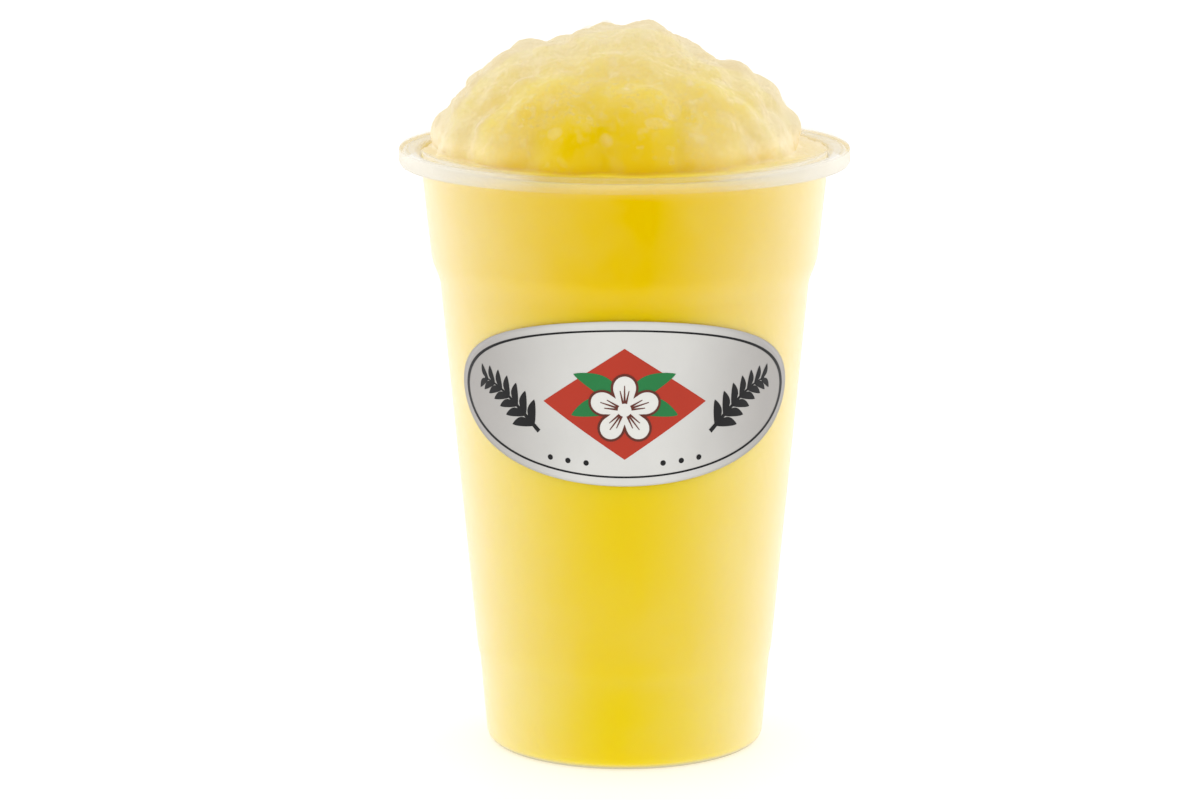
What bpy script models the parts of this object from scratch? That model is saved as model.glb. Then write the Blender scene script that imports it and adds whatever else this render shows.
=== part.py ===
"""A full cup of mango slush, as handed over a counter.

Three pieces: the thin translucent cup with its rolled lip, stacking shoulders and raised floor;
the slush, which fills the cup and stands above the lip as a heap of icy clumps; and an oval
label wrapped round the front of the cup. Metres, +Z up, front towards -Y, origin at the centre of
the foot.
"""

import math
import random

import bmesh
import bpy
import numpy as np
from mathutils import Euler, Matrix, Vector

SEGMENTS = 64
MERGE = 0.00002

# Cup
CUP_HEIGHT = 0.129
RIM_RADIUS = 0.0475
WALL = 0.0008
FLOOR_RISE = 0.0026
FLOOR_RADIUS = 0.0236
FOOT_INNER_RADIUS = 0.0250
FOOT_CORNER = 0.0026
BASE_RADIUS = 0.02965
LOW_STEP_Z = 0.0172
LOW_STEP_RADII = (0.03090, 0.03165)
LOW_STEP_HEIGHT = 0.0048
SHOULDER_Z = 0.0984
SHOULDER_RADII = (0.03887, 0.0409)
SHOULDER_HEIGHT = 0.0078
NECK_RADIUS = 0.0430
LIP_FLARE = 0.0020
LIP_ROLL = 0.0015
LIP_SKIRT = 0.0025

# Slush: FILL_Z is its level at the wall, from which it rises gently to the heap's foot
CONTENTS_GAP = 0.0003
FILL_Z = 0.1262
FILL_RISE = 0.0010
FILL_INNER = 0.0390
FILL_EDGE = 0.0412

# Heap: a rounded core, a crown and a shoulder of single lumps, and three rings of lumps round them.
# Each single lump: x, y and z of its centre, then its radius
HEAP_CENTRE = Vector((0.0, 0.0, 0.116))
HEAP_SHIFT = -0.0020
CORE_Z = 0.1245
CORE_SIZES = (0.0368, 0.0372, 0.0250)
LUMPS = {
    "crown_left": (-0.0038, 0.0010, 0.1416, 0.0114),
    "crown_right": (0.0042, -0.0010, 0.1432, 0.0104),
    "crown_front": (0.0010, -0.0095, 0.1394, 0.0112),
    "crown_back": (-0.0010, 0.0095, 0.1396, 0.0112),
    "left_shoulder": (-0.0182, 0.0000, 0.1388, 0.0106),
}
# Each ring: number of lumps, radius of the ring, height, radius of its lumps
RINGS = {
    "upper": (6, 0.0108, 0.1362, 0.0106),
    "middle": (9, 0.0246, 0.1346, 0.0090),
    "foot": (14, 0.0303, 0.1300, 0.0074),
}
RING_JITTER = 0.0009
LUMP_BLEND = 0.0040

# Clumps of ice over the heap, then the coarse grains fused on it
CLUMP_COUNT = 120
CLUMP_RADII = (0.0022, 0.0044)
CLUMP_SINK = 0.66
CLUMP_BLEND = 0.0014
GRAIN_CLUSTERS = 24
GRAINS_EACH = 3
CLUSTER_SPREAD = 0.075
GRAIN_RADII = (0.0012, 0.0027)
GRAIN_STRETCH = (0.7, 1.35)
GRAIN_SINK = 0.45
TOP_SHARE, FOOT_SHARE = 0.99, 0.28
SPREAD_JITTER = 0.05
GOLDEN_ANGLE = math.pi * (3 - math.sqrt(5))
SEED = 12

# The heap's mesh: a ball with most of its faces drawn up onto the heap, and its rest sunk below
HEAP_BALL_DETAIL = 5
DRAWN_UP = 0.80
FOOT_TURN = math.radians(86)
SUNK_TURN = math.radians(100)
SUNK_RADIUS = 0.026
REACH_START = 0.055
REACH_STEPS = 60
REACH_STEP_SHARE = 0.8

# Label
LABEL_Z = 0.0800
LABEL_HALF_HEIGHT = 0.0175
LABEL_HALF_WIDTH = 0.0420
LABEL_THICKNESS = 0.0003
LABEL_GAP = 0.0003
LABEL_COLUMNS, LABEL_ROWS = 22, 8


def material(name, colour, roughness, alpha=1.0):
    mat = bpy.data.materials.new(name)
    mat.use_nodes = True
    shader = mat.node_tree.nodes["Principled BSDF"]
    shader.inputs["Base Color"].default_value = (*colour, 1.0)
    shader.inputs["Roughness"].default_value = roughness
    shader.inputs["Metallic"].default_value = 0.0
    shader.inputs["Alpha"].default_value = alpha
    return mat


def new_object(name, mesh, collection, mat=None):
    obj = bpy.data.objects.new(name, mesh)
    collection.objects.link(obj)
    if mat is not None:
        mesh.materials.append(mat)
    return obj


def evaluated_copy(obj):
    """The object's mesh with its modifiers applied."""
    graph = bpy.context.evaluated_depsgraph_get()
    return bpy.data.meshes.new_from_object(obj.evaluated_get(graph))


def arc(centre, radius, start, end, steps):
    """Points of an arc in the radius-height plane, angles in degrees from +radius towards +height."""
    points = []
    for i in range(steps + 1):
        angle = math.radians(start + (end - start) * i / steps)
        points.append((centre[0] + radius * math.cos(angle), centre[1] + radius * math.sin(angle)))
    return points


def ease(start, end, steps):
    """An S-shaped run between two points: the radius eases while the height is even."""
    points = []
    for i in range(steps + 1):
        t = i / steps
        share = t * t * (3 - 2 * t)
        points.append((start[0] + (end[0] - start[0]) * share, start[1] + (end[1] - start[1]) * t))
    return points


def wall_profile():
    """The inner face of the cup from the centre of its floor to the neck, as (radius, height)."""
    corner_centre = (BASE_RADIUS - FOOT_CORNER, FOOT_CORNER)
    low, low_top = (r - WALL for r in LOW_STEP_RADII)
    shoulder, shoulder_top = (r - WALL for r in SHOULDER_RADII)
    return [
        (0.0, FLOOR_RISE + WALL),
        (FLOOR_RADIUS, FLOOR_RISE + WALL),
        (FOOT_INNER_RADIUS, WALL),
        *arc(corner_centre, FOOT_CORNER - WALL, -90, 0, 3),
        (low, LOW_STEP_Z),
        (low_top, LOW_STEP_Z + LOW_STEP_HEIGHT),
        *ease((shoulder, SHOULDER_Z), (shoulder_top, SHOULDER_Z + SHOULDER_HEIGHT), 4),
        (NECK_RADIUS - WALL, CUP_HEIGHT - LIP_FLARE),
    ]


def lip_profile():
    """The lip's upper face, on from the neck: it flares out, rolls over and ends in a short skirt."""
    flare_centre = (NECK_RADIUS - WALL + LIP_FLARE, CUP_HEIGHT - LIP_FLARE)
    roll_centre = (RIM_RADIUS - LIP_ROLL, CUP_HEIGHT - LIP_ROLL)
    return [
        *arc(flare_centre, LIP_FLARE, 180, 90, 3)[1:],
        *arc(roll_centre, LIP_ROLL, 90, 0, 3),
        (RIM_RADIUS, CUP_HEIGHT - LIP_ROLL - LIP_SKIRT),
    ]


def outer_radius(z):
    """The cup's outer radius on its main, straight wall."""
    low, high = LOW_STEP_Z + LOW_STEP_HEIGHT, SHOULDER_Z
    share = (z - low) / (high - low)
    return LOW_STEP_RADII[1] + (SHOULDER_RADII[0] - LOW_STEP_RADII[1]) * share


def inset(points, distance):
    """A radius-height line moved sideways by distance, to its left as it runs."""
    moved = []
    for i, here in enumerate(points):
        before, after = points[max(i - 1, 0)], points[min(i + 1, len(points) - 1)]
        sides = []
        for a, b in ((before, here), (here, after)):
            along = Vector((b[0] - a[0], b[1] - a[1]))
            if along.length > 0:
                along.normalize()
                sides.append(Vector((-along.y, along.x)))
        normal = sum(sides, Vector((0.0, 0.0))).normalized()
        stretch = 1 / max(normal.dot(sides[0]), 0.5)
        moved.append((max(here[0] + normal.x * distance * stretch, 0.0), here[1] + normal.y * distance * stretch))
    return moved


def turned(name, points, collection, mat):
    """A profile in the XZ plane turned about the Z axis by a Screw modifier."""
    mesh = bpy.data.meshes.new(name)
    mesh.from_pydata([(r, 0.0, z) for r, z in points], [(i, i + 1) for i in range(len(points) - 1)], [])
    obj = new_object(name, mesh, collection, mat)
    screw = obj.modifiers.new("Turn", "SCREW")
    screw.steps = SEGMENTS
    screw.render_steps = SEGMENTS
    screw.use_merge_vertices = True
    screw.merge_threshold = MERGE
    return obj


def make_cup(collection):
    """The cup: one skin turned from its inner face, given its wall by Solidify."""
    cup = turned("cup", wall_profile() + lip_profile(), collection, material("cup", (0.90, 0.91, 0.88), 0.35, 0.4))
    cup.modifiers["Turn"].use_smooth_shade = True
    shell = cup.modifiers.new("Wall", "SOLIDIFY")
    shell.thickness = WALL
    shell.offset = -1
    shell.use_even_offset = True
    return cup


def ellipsoid_distance(points, centre, sizes):
    """About how far each point lies outside an ellipsoid."""
    scaled = (points - np.array(centre)) / np.array(sizes)
    reach = np.linalg.norm(scaled, axis=1)
    return (reach - 1) * min(sizes)


def smooth_least(first, second, blend):
    """The lesser of two distances, rounded where they meet."""
    share = np.clip(0.5 + 0.5 * (second - first) / blend, 0, 1)
    return second * (1 - share) + first * share - blend * share * (1 - share)


def ball_distance(points, centre, radius):
    return np.linalg.norm(points - np.array(centre), axis=1) - radius


def large_lumps(rng):
    """The heap's large lumps as (centre, radius): the placed ones, then the jittered rings."""
    lumps = [((x, y, z), radius) for x, y, z, radius in LUMPS.values()]
    for count, ring_radius, height, radius in RINGS.values():
        start = rng.uniform(0, math.tau)
        for i in range(count):
            turn = start + math.tau * i / count
            around = ring_radius + rng.uniform(-RING_JITTER, RING_JITTER)
            rise = rng.uniform(-RING_JITTER, RING_JITTER)
            centre = (HEAP_SHIFT + around * math.cos(turn), around * math.sin(turn), height + rise)
            lumps.append((centre, radius))
    return lumps


def heap_distance(points, lumps, clumps):
    """How far points lie outside the heap: its core, its large lumps and its clumps in one soft skin."""
    distance = ellipsoid_distance(points, (HEAP_SHIFT, 0, CORE_Z), CORE_SIZES)
    for centre, radius in lumps:
        distance = smooth_least(distance, ball_distance(points, centre, radius), LUMP_BLEND)
    for centre, radius in clumps:
        distance = smooth_least(distance, ball_distance(points, centre, radius), CLUMP_BLEND)
    return distance


def reach_along(directions, lumps, clumps):
    """How far the heap's skin is from HEAP_CENTRE in each direction, found by stepping inwards."""
    directions = np.array(directions, float)
    start = np.array(HEAP_CENTRE)
    reach = np.full(len(directions), REACH_START)
    for _ in range(REACH_STEPS):
        gap = heap_distance(start + directions * reach[:, None], lumps, clumps)
        reach = np.maximum(reach - gap * REACH_STEP_SHARE, SUNK_RADIUS)
    return reach


def spread_directions(count, rng):
    """Directions spread evenly over the heap along a golden-angle spiral, then jittered."""
    found = []
    for i in range(count):
        jitter = rng.uniform(-SPREAD_JITTER, SPREAD_JITTER)
        height = TOP_SHARE - (TOP_SHARE - FOOT_SHARE) * (i + 0.5) / count + jitter
        height = min(max(height, FOOT_SHARE), TOP_SHARE)
        turn = i * GOLDEN_ANGLE + rng.uniform(-SPREAD_JITTER, SPREAD_JITTER)
        across = math.sqrt(1 - height * height)
        found.append(Vector((across * math.cos(turn), across * math.sin(turn), height)))
    return found


def clustered_directions(rng):
    """Directions in small clusters, with the clusters spread evenly."""
    found = []
    for middle in spread_directions(GRAIN_CLUSTERS, rng):
        for _ in range(GRAINS_EACH):
            aside = Vector([rng.uniform(-CLUSTER_SPREAD, CLUSTER_SPREAD) for _ in range(3)])
            near = middle + aside
            near.z = max(near.z, FOOT_SHARE)
            found.append(near.normalized())
    return found


def sunk_places(directions, radii, sink, lumps, clumps, rng):
    """Places in the heap's skin for balls of mixed size, each sunk by a share of its radius."""
    places = []
    for direction, reach in zip(directions, reach_along(directions, lumps, clumps)):
        radius = rng.uniform(*radii)
        places.append((HEAP_CENTRE + direction * (reach - radius * sink), radius))
    return places


def drawn_direction(direction):
    """A ball's direction drawn up towards +Z, so that most of its faces lie on the heap."""
    turn = direction.angle(Vector((0, 0, 1)), 0)
    bend = FOOT_TURN / DRAWN_UP
    if turn < bend:
        drawn = turn * DRAWN_UP
    else:
        drawn = FOOT_TURN + (math.pi - FOOT_TURN) * (turn - bend) / (math.pi - bend)
    flat = Vector((direction.x, direction.y, 0))
    if flat.length > 0:
        flat.normalize()
    return flat * math.sin(drawn) + Vector((0, 0, math.cos(drawn)))


def make_heap(collection, lumps, clumps):
    """The heap: a ball whose points are moved out to the lumpy skin, and held inside the cup below it."""
    shape = bmesh.new()
    bmesh.ops.create_icosphere(shape, subdivisions=HEAP_BALL_DETAIL, radius=1.0)
    directions = [drawn_direction(v.co) for v in shape.verts]
    reaches = reach_along(directions, lumps, clumps)
    for vertex, direction, reach in zip(shape.verts, directions, reaches):
        turn = direction.angle(Vector((0, 0, 1)), 0)
        sunk = min(max((turn - FOOT_TURN) / (SUNK_TURN - FOOT_TURN), 0.0), 1.0)
        vertex.co = HEAP_CENTRE + direction * (reach + (SUNK_RADIUS - reach) * sunk)
    mesh = bpy.data.meshes.new("heap")
    shape.to_mesh(mesh)
    shape.free()
    return new_object("heap", mesh, collection)


def make_grains(collection, lumps, clumps, rng):
    """Coarse ice grains: small uneven solids of twenty faces, sunk in the heap's skin."""
    places = sunk_places(clustered_directions(rng), GRAIN_RADII, GRAIN_SINK, lumps, clumps, rng)
    for i, (centre, radius) in enumerate(places):
        sizes = [radius * rng.uniform(*GRAIN_STRETCH) for _ in range(3)]
        turn = Euler([rng.uniform(0, math.tau) for _ in range(3)]).to_matrix().to_4x4()
        place = Matrix.Translation(centre) @ turn @ Matrix.Diagonal((*sizes, 1.0))
        shape = bmesh.new()
        bmesh.ops.create_icosphere(shape, subdivisions=1, radius=1.0, matrix=place)
        mesh = bpy.data.meshes.new(f"grain_{i:02d}")
        shape.to_mesh(mesh)
        shape.free()
        new_object(f"grain_{i:02d}", mesh, collection)


def fuse(body, collection):
    """Joins every object of a collection to the body by one Boolean union, and removes them."""
    union = body.modifiers.new("Fuse", "BOOLEAN")
    union.operation = "UNION"
    union.operand_type = "COLLECTION"
    union.collection = collection
    union.solver = "MANIFOLD"
    joined = evaluated_copy(body)
    body.modifiers.clear()
    body.data = joined
    for piece in list(collection.objects):
        bpy.data.objects.remove(piece)
    bpy.data.collections.remove(collection)


def make_slush(collection):
    """The slush: what fills the cup, with the heap and its grains fused on."""
    rng = random.Random(SEED)
    lumps = large_lumps(rng)
    clumps = sunk_places(spread_directions(CLUMP_COUNT, rng), CLUMP_RADII, CLUMP_SINK, lumps, [], rng)
    wall = inset(wall_profile(), CONTENTS_GAP)[:-1]
    top = [(FILL_EDGE, FILL_Z), (FILL_INNER, FILL_Z + FILL_RISE), (0.0, FILL_Z + FILL_RISE)]
    filling = [*wall, *top]
    slush = turned("slush", filling[::-1], collection, material("slush", (0.80, 0.57, 0.06), 0.30))

    fused = bpy.data.collections.new("fused")
    bpy.context.scene.collection.children.link(fused)
    make_heap(fused, lumps, clumps)
    make_grains(fused, lumps, clumps, rng)
    fuse(slush, fused)
    slush.data.shade_smooth()
    return slush


def make_label(collection):
    """The label: an oval sheet laid round the cup's straight wall, given its thickness by Solidify."""
    shape = bmesh.new()
    bmesh.ops.create_grid(shape, x_segments=LABEL_COLUMNS, y_segments=LABEL_ROWS, size=1.0)
    for vertex in shape.verts:
        u, v = vertex.co.x, vertex.co.y
        along = LABEL_HALF_WIDTH * u * math.sqrt(1 - v * v / 2)
        z = LABEL_Z + LABEL_HALF_HEIGHT * v * math.sqrt(1 - u * u / 2)
        radius = outer_radius(z) + LABEL_GAP + LABEL_THICKNESS
        turn = along / outer_radius(LABEL_Z)
        vertex.co = (radius * math.sin(turn), -radius * math.cos(turn), z)
    bmesh.ops.recalc_face_normals(shape, faces=shape.faces)
    mesh = bpy.data.meshes.new("label")
    shape.to_mesh(mesh)
    shape.free()
    label = new_object("label", mesh, collection, material("label", (0.56, 0.55, 0.53), 0.45))
    outward = sum((f.normal for f in mesh.polygons), Vector())
    if outward.y > 0:
        mesh.flip_normals()
    sheet = label.modifiers.new("Sheet", "SOLIDIFY")
    sheet.thickness = LABEL_THICKNESS
    sheet.offset = -1
    return label


def main():
    for obj in list(bpy.data.objects):
        bpy.data.objects.remove(obj)
    collection = bpy.data.collections.new("mango slush")
    bpy.context.scene.collection.children.link(collection)
    make_cup(collection)
    make_slush(collection)
    make_label(collection)


main()
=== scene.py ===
"""Looks of a full cup of mango slush: frosted cup, icy heap, ice grains and a printed oval label.

Metres, +Z up, the label faces -Y, origin at the centre of the foot. Tones are sRGB, from 0 to 255.
"""

import math
import random

import bmesh
import bpy
import numpy as np
from mathutils import Euler, Matrix, Vector, noise


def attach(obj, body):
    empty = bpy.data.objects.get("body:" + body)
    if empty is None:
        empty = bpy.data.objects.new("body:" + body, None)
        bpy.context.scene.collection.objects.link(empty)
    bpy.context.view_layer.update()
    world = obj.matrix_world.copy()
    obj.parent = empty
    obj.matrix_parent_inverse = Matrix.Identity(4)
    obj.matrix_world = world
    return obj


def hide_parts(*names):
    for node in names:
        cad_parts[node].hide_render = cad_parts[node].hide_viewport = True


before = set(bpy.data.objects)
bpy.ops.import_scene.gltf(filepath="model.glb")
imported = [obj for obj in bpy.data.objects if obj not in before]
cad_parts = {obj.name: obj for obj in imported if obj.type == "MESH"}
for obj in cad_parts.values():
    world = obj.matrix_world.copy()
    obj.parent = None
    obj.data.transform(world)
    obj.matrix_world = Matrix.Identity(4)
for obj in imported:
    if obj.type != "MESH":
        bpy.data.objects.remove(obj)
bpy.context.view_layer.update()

TINY = 1e-7
WELD_DISTANCE = 1e-6
WHITE = (1.0, 1.0, 1.0, 1.0)

# Camera, fitted to the photograph
IMAGE_WIDTH = 1200
LENS, SENSOR = 140.0, 36.0
VIEW_DISTANCE = 0.9928
VIEW_ELEVATION = math.radians(11.06)
VIEW_TARGET = Vector((0.0, 0.0, 0.07365))
AXIS_COLUMN = 624.6
CLIP_START, CLIP_END = 0.01, 50.0

# Stage: the lights' places, the heights they point at, their sizes and powers
LIGHTS = {
    "left_back": ((-0.55, 0.45, 0.30), 0.08, (0.5, 0.7), 0.9),
    "right_back": ((0.55, 0.45, 0.30), 0.08, (0.5, 0.7), 0.9),
    "above": ((0.0, 0.15, 0.80), 0.12, (0.6, 0.6), 0.3),
}
SKY_STRENGTH = 0.965
STAGE_RADIUS, STAGE_SIDES = 6.0, 96
STAGE_TONES, STAGE_TONE_CELL = ((196, 196, 196), (200, 200, 200)), 0.30
STAGE_GLOW = 0.52

# Cup: outer face, as in the solid
CUP_HEIGHT = 0.129
RIM_RADIUS = 0.0475
WALL = 0.0005
FLOOR_RISE = 0.0026
FLOOR_MIDDLE_RADIUS = 0.012
FLOOR_RADIUS = 0.0236
FOOT_INNER_RADIUS = 0.0250
FOOT_CORNER = 0.0026
BASE_RADIUS = 0.02965
LOW_STEP_Z = 0.0172
LOW_STEP_RADII = (0.03090, 0.03165)
LOW_STEP_HEIGHT = 0.0048
SHOULDER_Z = 0.0984
SHOULDER_RADII = (0.03887, 0.0409)
SHOULDER_HEIGHT = 0.0078
NECK_RADIUS = 0.0430
NECK_TOP_DROP = 0.0006
LIP_FLARE = 0.0020
LIP_ROLL = 0.0015
LIP_SKIRT = 0.0025
CUP_SEGMENTS = 192
MITRE_LEAST = 0.5

# The lip's underside, out from the flare and down inside the skirt: in from the rim, down from the cup's top
UNDER_FLARE_RADIUS, UNDER_FLARE_DROP = 0.0022, 0.0034
SKIRT_TURN_DROP = LIP_ROLL + LIP_SKIRT * 0.8
SKIRT_DROP = LIP_ROLL + LIP_SKIRT
LIP_UNDERSIDE = (
    (0.0024, 0.0014),
    (0.0016, 0.0010),
    (0.0009, 0.0014),
    (0.0006, 0.0020),
    (0.0006, SKIRT_TURN_DROP),
    (0.0010, SKIRT_DROP),
    (0.0004, SKIRT_DROP + 0.0002),
)

# Slush: a golden body, and over its heap a thin skin of drained ice
INTO_WALL = 0.0002
BRIM_RADIUS = NECK_RADIUS - WALL + INTO_WALL
FILL_Z = 0.1262
FILL_RISE, RISE_WIDTH = 0.0010, 0.0030
FILL_WAVE, WAVE_CELL = 0.0004, 0.009
LEVEL_SAMPLES = 400
BODY_DEPTH = 0.0008
SKIN_LIFT = 0.0003
HEAP_CENTRE = Vector((0.0, 0.0, 0.116))
HEAP_SHIFT = -0.0020
CORE_Z = 0.1245
CORE_SIZES = (0.0368, 0.0372, 0.0250)

# Large lumps: x, y, z and radius
LUMPS = {
    "crown_left": (-0.0038, 0.0010, 0.1416, 0.0114),
    "crown_right": (0.0042, -0.0010, 0.1432, 0.0104),
    "crown_front": (0.0010, -0.0095, 0.1394, 0.0112),
    "crown_back": (-0.0010, 0.0095, 0.1396, 0.0112),
    "left_shoulder": (-0.0182, 0.0000, 0.1388, 0.0106),
}

# Rings of large lumps: how many, the ring's radius, its height and a lump's radius
RINGS = {
    "upper": (6, 0.0108, 0.1362, 0.0106),
    "middle": (9, 0.0246, 0.1346, 0.0090),
    "foot": (14, 0.0303, 0.1300, 0.0074),
}

# The heap's clumps, how its surface is found and sampled, and its granular relief
RING_JITTER = 0.0009
LUMP_BLEND = 0.0040
CLUMP_COUNT = 120
CLUMP_RADII = (0.0022, 0.0044)
CLUMP_SINK = 0.66
CLUMP_BLEND = 0.0026
TOP_SHARE, FOOT_SHARE = 0.99, 0.28
SPREAD_JITTER = 0.05
GOLDEN_ANGLE = math.pi * (3 - math.sqrt(5))
SEED = 12
REACH_START, REACH_LEAST = 0.050, 0.005
REACH_STEPS = 22
REACH_STEP_SHARE = 0.85
HEAP_TURNS = 480
HEAP_ROWS = 150
FOOT_ROWS = 22
FOOT_ANGLE = math.radians(72.0)
FOOT_BLEND = 0.0020
COARSE_CELL, COARSE_RELIEF = 0.0030, 0.00030
FINE_CELL, FINE_RELIEF = 0.0014, 0.00020
GRANULE_REACH, GRANULE_LEAST, GRANULE_KEY = 0.75, 0.45, 7.3

# Ice in the skin: soft lumps, and small chips in clusters
ICE_LUMPS = 90
ICE_LUMP_RADII = (0.0014, 0.0028)
ICE_LUMP_SINK = 0.60
CHIP_CLUSTERS = 30
CHIPS_EACH = 9
CLUSTER_SPREAD = 0.075
CHIP_RADII = (0.00035, 0.0009)
CHIP_SINK = 0.25
BALL_SHRINK, BALL_STRETCH = (0.6, 1.0), (0.6, 1.3)

# Label: the sheet, a line inside its edge and a diamond
LABEL_Z = 0.0800
LABEL_HALF_HEIGHT = 0.0175
LABEL_HALF_WIDTH = 0.0420
LABEL_THICKNESS = 0.00016
LABEL_GAP = 0.00003
LAYER = 0.00003
SHEET_WIDTH_SHARE = 0.985
LINE_SHARES, LINE_INNER_SHARE = (0.945, 0.90), 0.975
DIAMOND_HALF_WIDTH, DIAMOND_HALF_HEIGHT = 0.0172, 0.0118
STROKE_STEP = 0.002

# Flower: lines on a petal by their turn from its middle, and leaves by their angle, each with its length
FLOWER_PETALS = 5
FLOWER_RADIUS, FLOWER_NOTCH, PETAL_FULLNESS = 0.0074, 0.44, 0.6
FLOWER_MIDDLE = (0.0, -0.0012)
PETAL_EDGE_WIDTH = 0.00050
PETAL_LINES, PETAL_LINE_START = {-0.22: 0.0042, 0.0: 0.0052, 0.22: 0.0042}, 0.0014
PETAL_LINE_WIDTH, PETAL_LINE_TAPER = 0.00045, 0.6
FLOWER_LEAVES = {0.62: 0.0128, -0.12: 0.0112}
FLOWER_LEAF_WIDTH, FLOWER_LEAF_BOW = 0.0040, 0.12
LEAF_FULLNESS = 0.8

# Leafy twigs and dots beside the flower
BRANCH_START, BRANCH_LENGTH = 0.0186, 0.0140
BRANCH_FOOT, BRANCH_RISE, BRANCH_BEND = -0.0066, 0.0098, 1.45
BRANCH_WIDTH, BRANCH_TAPER = 0.0010, 0.7
BRANCH_LEAVES, FIRST_LEAF, LEAF_SPACING, LEAF_AHEAD = 7, 0.08, 0.14, 0.02
LEAF_LENGTH, LEAF_SHORTER, LEAF_WIDTH_SHARE = 0.0056, 0.06, 0.36
LEAF_TURN, LEAF_BOW = 0.85, 0.12
DOT_COLUMNS, DOT_DROP, DOT_RADIUS = (0.0082, 0.0122, 0.0162), 0.0129, 0.0006

# Grids of the label's patches, as their steps across and along
SHEET_GRID, LINE_GRID, DIAMOND_GRID, FLOWER_GRID = (160, 26), (200, 1), (60, 16), (200, 8)
PETAL_EDGE_GRID, PETAL_LINE_GRID, FLOWER_LEAF_GRID = (240, 1), (8, 1), (24, 4)
TWIG_GRID, LEAF_GRID, DOT_GRID = (40, 1), (12, 3), (12, 1)

# For all materials: the middle of a noise's range, a grain finer than a pixel, and indices of refraction
NOISE_SPAN = (0.3, 0.7)
FROST_CELL = 0.00003
ICE_IOR, SLUSH_IOR, PLASTIC_IOR = 1.31, 1.34, 1.49

# Slush tones, and the heights or radii over which they come in
GOLD = (228, 195, 0)
LOW_GOLD, LOW_GOLD_SPAN = (232, 205, 32), (0.105, 0.060)
FOOT_GOLD, FOOT_GOLD_SPAN = (233, 209, 0), (0.030, 0.006)
# Painted light: a brighter gold round the heap's foot, lifting the shade of the crease there.
HEAP_FOOT_LIT_GOLD, HEAP_FOOT_LIT_SPAN = (233, 201, 0), (0.1330, 0.1290)
# Painted shade: a deeper gold on the brim, darkening the rounding that faces up into the light.
BRIM_SHADE_GOLD, BRIM_SHADE_SPAN = (205, 172, 0), (BRIM_RADIUS - 0.0034, BRIM_RADIUS - 0.0020)
SLUSH_CREAM = (236, 224, 172)
BLOTCH_CELL, BLOTCH_SPAN = 0.020, (0.40, 0.72)
HEAP_BLOTCHES, WALL_BLOTCHES = 0.04, 0.07
CROWN_SPAN, CROWN_CREAM = (0.138, 0.154), 0.16
WALL_TOP_SPAN, WALL_TOP_CREAM = (FILL_Z - 0.0014, FILL_Z - 0.0007), 0.20
SLUSH_GRAIN_CELL, SLUSH_ROUGHNESS = 0.0016, (0.35, 0.50)
SLUSH_SCATTER = {
    "Subsurface Weight": 0.8,
    "Subsurface Radius": (1.0, 0.85, 0.25),
    "Subsurface Scale": 0.006,
}

# Drained ice over the heap: cream patches, fainter round the foot, and painted back-light glow as more cream
# low on both sides
SKIN_TONES, SKIN_TONE_CELL = ((236, 218, 184), (240, 229, 190)), 0.0060
# Painted light: a brighter cream round the heap's foot, lifting the shade of the crease there.
SKIN_FOOT_LIT, SKIN_FOOT_LIT_TOP, SKIN_FOOT_LIT_BOTTOM = (252, 238, 204), (0.1335, 0.1305), (0.1268, 0.1282)
SKIN_PATCHES = (
    {"cell": 0.0075, "detail": 3.0, "span": (0.50, 0.75), "share": 0.12},
    {"cell": 0.0042, "detail": 2.0, "span": (0.50, 0.72), "share": 0.13},
    {"cell": 0.0020, "detail": 2.0, "span": (0.54, 0.70), "share": 0.12},
)
FAINT_SPAN = (0.131, 0.138)
FAINT_PATCHES, FAINT_ICE = 0.25, 0.40
# Painted light: more cream low on the left and right, standing in for back light shining through the heap's
# sides.
RIGHT_GLOW_SPAN, RIGHT_GLOW = (0.004, 0.022), 0.26
LEFT_GLOW_SPAN, LEFT_GLOW = (-0.010, -0.030), 0.24
SIDE_GLOW_TOP, SIDE_GLOW_BOTTOM, SIDE_GLOW_LEAST = (0.142, 0.132), (0.1265, 0.1315), 0.35
SKIN_GRAIN_CELL, SKIN_ROUGHNESS, SKIN_BUMP = 0.0014, (0.42, 0.62), 0.0005
SKIN_FACINGS, SKIN_OWN_SHARE, SKIN_UPRIGHT = (0.07, 0.95), 0.16, 0.78

# Loose ice
ICE_TONE_CELL, ICE_TONE_SPAN = 0.0040, (0.4, 0.65)
ICE_GRAIN_CELL, ICE_ROUGHNESS_RANGE = 0.0006, 0.2
ICE_FACINGS, ICE_FROST_DEPTH = (0.05, 0.75), 0.6

# Plastic: greyer where it is thick at the foot, clearer on top of the lip
CLOUD_CELL, PLASTIC_GRAIN_CELL, PLASTIC_ROUGHNESS_RANGE = 0.012, 0.0008, 0.08
THICK_TONE, THICK_SPAN, THICK_SHARE, THICK_TINT = (190, 186, 164), (0.0017, 0.0005), 0.55, 1.8
LIP_TOP_SPAN, LIP_TOP_SHARE = (CUP_HEIGHT - 0.0014, CUP_HEIGHT - 0.0006), 0.15

# Label's inks: material name, tone, roughness, and how far the tone varies
INKS = {
    "ground_print": ("silver_print", (226, 225, 220), 0.45, 0.04),
    "black": ("black_ink", (16, 15, 17), 0.40, 0.15),
    "red": ("red_ink", (180, 50, 28), 0.40, 0.08),
    "brown": ("brown_ink", (96, 42, 30), 0.40, 0.10),
    "green": ("green_ink", (30, 120, 62), 0.40, 0.10),
}
FILM = ("silver_film", (214, 213, 209), 0.42, 0.06)
FILM_METALLIC = 0.30
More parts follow.
